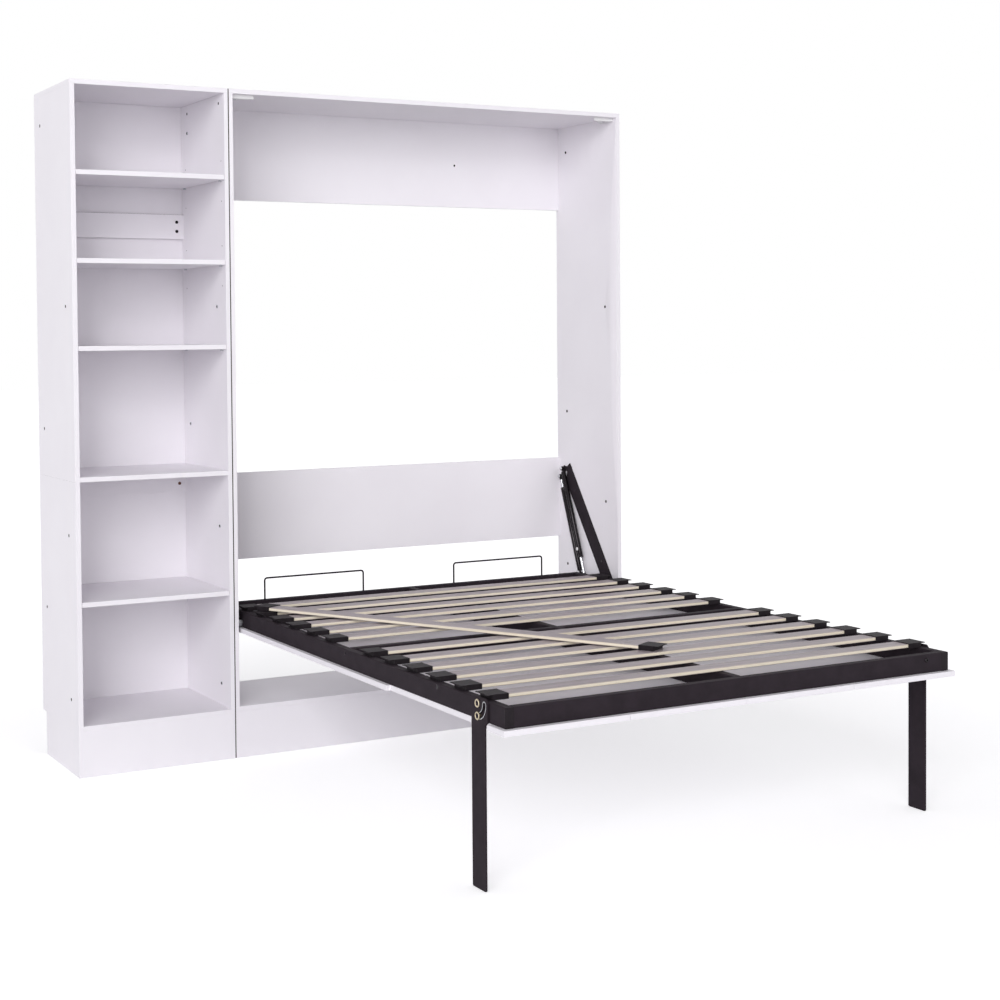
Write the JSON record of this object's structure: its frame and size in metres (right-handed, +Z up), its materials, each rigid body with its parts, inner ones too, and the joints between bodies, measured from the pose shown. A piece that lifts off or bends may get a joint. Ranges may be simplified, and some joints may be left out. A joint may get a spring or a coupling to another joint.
{
  "type": "wall bed",
  "caption": "Fold-down wall bed: a slatted steel frame on a white door turns up into an open-backed cabinet on gas springs, with folding legs and an open bookcase beside it.",
  "frame": {"origin": "on the floor, under the middle of the bounding box of the whole object with the bed down", "axes": "+Z up, +Y towards the wall, +X to the right of someone facing the wall, so the bookcase is at -X and the bed's foot at -Y"},
  "size_m": [2.015, 2.075, 2.15],
  "materials": {
    "white_board": "white melamine on particle board, satin",
    "white_plastic": "white moulded plastic",
    "black_steel": "black powder coat, slightly brown",
    "black_plastic": "black moulded plastic",
    "slat_wood": "bare birch plywood with a grey film on top",
    "spring_black": "black gloss paint",
    "spring_rod": "polished rod",
    "zinc": "bright zinc",
    "brass_zinc": "yellow zinc"
  },
  "bodies": {
    "cabinet": {"bookcase_left_side_lower": "white_board", "bookcase_left_side_upper": "white_board", "bookcase_right_side_lower": "white_board", "bookcase_right_side_upper": "white_board", "bookcase_top": "white_board", "bookcase_bottom": "white_board", "bookcase_kick_board": "white_board", "bookcase_fixed_shelf": "white_board", "bookcase_shelf_1": "white_board", "bookcase_shelf_2": "white_board", "bookcase_shelf_3": "white_board", "bookcase_shelf_4": "white_board", "bookcase_back_lower": "white_board", "bookcase_back_upper": "white_board", "bookcase_back_rail": "white_board", "shelf_pins": "zinc", "cabinet_left_side_lower": "white_board", "cabinet_left_side_upper": "white_board", "cabinet_right_side_lower": "white_board", "cabinet_right_side_upper": "white_board", "cabinet_top": "white_board", "cabinet_upper_rail": "white_board", "cabinet_middle_rail": "white_board", "cabinet_base": "white_board", "cabinet_kick_board": "white_board", "corner_braces": "white_plastic", "joining_bolts": "zinc", "lifting_plate_left": "black_steel", "lifting_plate_right": "black_steel", "pivot_bolts": "zinc"},
    "bed": {"rail_left": "black_steel", "rail_right": "black_steel", "rail_plugs": "black_plastic", "head_rail": "black_steel", "foot_rail": "black_steel", "pivot_tube": "black_steel", "middle_tube": "black_steel", "centre_beam": "black_steel", "slats_head": "slat_wood", "slats_foot": "slat_wood", "slat_caps_left": "black_plastic", "slat_caps_right": "black_plastic", "loose_slat": "slat_wood", "door_board_1": "white_board", "door_board_2": "white_board", "door_board_3": "white_board", "door_board_4": "white_board", "mattress_stop_left": "black_steel", "mattress_stop_right": "black_steel", "leg_bolts": "brass_zinc"},
    "leg_left": {"leg_left": "black_steel"},
    "leg_right": {"leg_right": "black_steel"},
    "spring_a_rod_left": {"spring_a_rod_left": "spring_rod"},
    "spring_a_cylinder_left": {"spring_a_cylinder_left": "spring_black"},
    "spring_b_cylinder_left": {"spring_b_cylinder_left": "spring_black"},
    "spring_b_rod_left": {"spring_b_rod_left": "spring_rod"},
    "spring_a_rod_right": {"spring_a_rod_right": "spring_rod"},
    "spring_a_cylinder_right": {"spring_a_cylinder_right": "spring_black"},
    "spring_b_cylinder_right": {"spring_b_cylinder_right": "spring_black"},
    "spring_b_rod_right": {"spring_b_rod_right": "spring_rod"}
  },
  "joints": [
    {"name": "bed_fold", "type": "hinge", "parent": "cabinet", "child": "bed", "pos_m": [0.2575, 0.6625, 0.432], "axis": [-1, 0, 0], "range_deg": [0, 90]},
    {"name": "left_leg_fold", "type": "hinge", "parent": "bed", "child": "leg_left", "pos_m": [-0.456, -0.9005, 0.459], "axis": [1, 0, 0], "range_deg": [0, 90]},
    {"name": "right_leg_fold", "type": "hinge", "parent": "bed", "child": "leg_right", "pos_m": [0.971, -0.9005, 0.459], "axis": [1, 0, 0], "range_deg": [0, 90]},
    {"name": "left_spring_a_swing", "type": "hinge", "parent": "cabinet", "child": "spring_a_rod_left", "pos_m": [-0.4652, 0.9985, 0.819], "axis": [-1, 0, 0], "range_deg": [0, 6.82]},
    {"name": "left_spring_a_stroke", "type": "slide", "parent": "spring_a_rod_left", "child": "spring_a_cylinder_left", "axis": [0, -0.3551, -0.9348], "range_m": [0, 0.2796]},
    {"name": "left_spring_b_swing", "type": "hinge", "parent": "cabinet", "child": "spring_b_cylinder_left", "pos_m": [-0.4652, 0.9855, 0.849], "axis": [-1, 0, 0], "range_deg": [0, 6.16]},
    {"name": "left_spring_b_stroke", "type": "slide", "parent": "spring_b_cylinder_left", "child": "spring_b_rod_left", "axis": [0, -0.3571, -0.9341], "range_m": [0, 0.2387]},
    {"name": "right_spring_a_swing", "type": "hinge", "parent": "cabinet", "child": "spring_a_rod_right", "pos_m": [0.9802, 0.9985, 0.819], "axis": [-1, 0, 0], "range_deg": [0, 6.82]},
    {"name": "right_spring_a_stroke", "type": "slide", "parent": "spring_a_rod_right", "child": "spring_a_cylinder_right", "axis": [0, -0.3551, -0.9348], "range_m": [0, 0.2796]},
    {"name": "right_spring_b_swing", "type": "hinge", "parent": "cabinet", "child": "spring_b_cylinder_right", "pos_m": [0.9802, 0.9855, 0.849], "axis": [-1, 0, 0], "range_deg": [0, 6.16]},
    {"name": "right_spring_b_stroke", "type": "slide", "parent": "spring_b_cylinder_right", "child": "spring_b_rod_right", "axis": [0, -0.3571, -0.9341], "range_m": [0, 0.2387]}
  ],
  "couplings": [
    {"joint": "left_spring_a_swing", "follows": "bed_fold", "ratio": 0.075648},
    {"joint": "left_spring_a_stroke", "follows": "bed_fold", "m_per_rad": 0.17792},
    {"joint": "left_spring_b_swing", "follows": "bed_fold", "ratio": 0.06831},
    {"joint": "left_spring_b_stroke", "follows": "bed_fold", "m_per_rad": 0.15188},
    {"joint": "right_spring_a_swing", "follows": "bed_fold", "ratio": 0.075648},
    {"joint": "right_spring_a_stroke", "follows": "bed_fold", "m_per_rad": 0.17792},
    {"joint": "right_spring_b_swing", "follows": "bed_fold", "ratio": 0.06831},
    {"joint": "right_spring_b_stroke", "follows": "bed_fold", "m_per_rad": 0.15188}
  ]
}
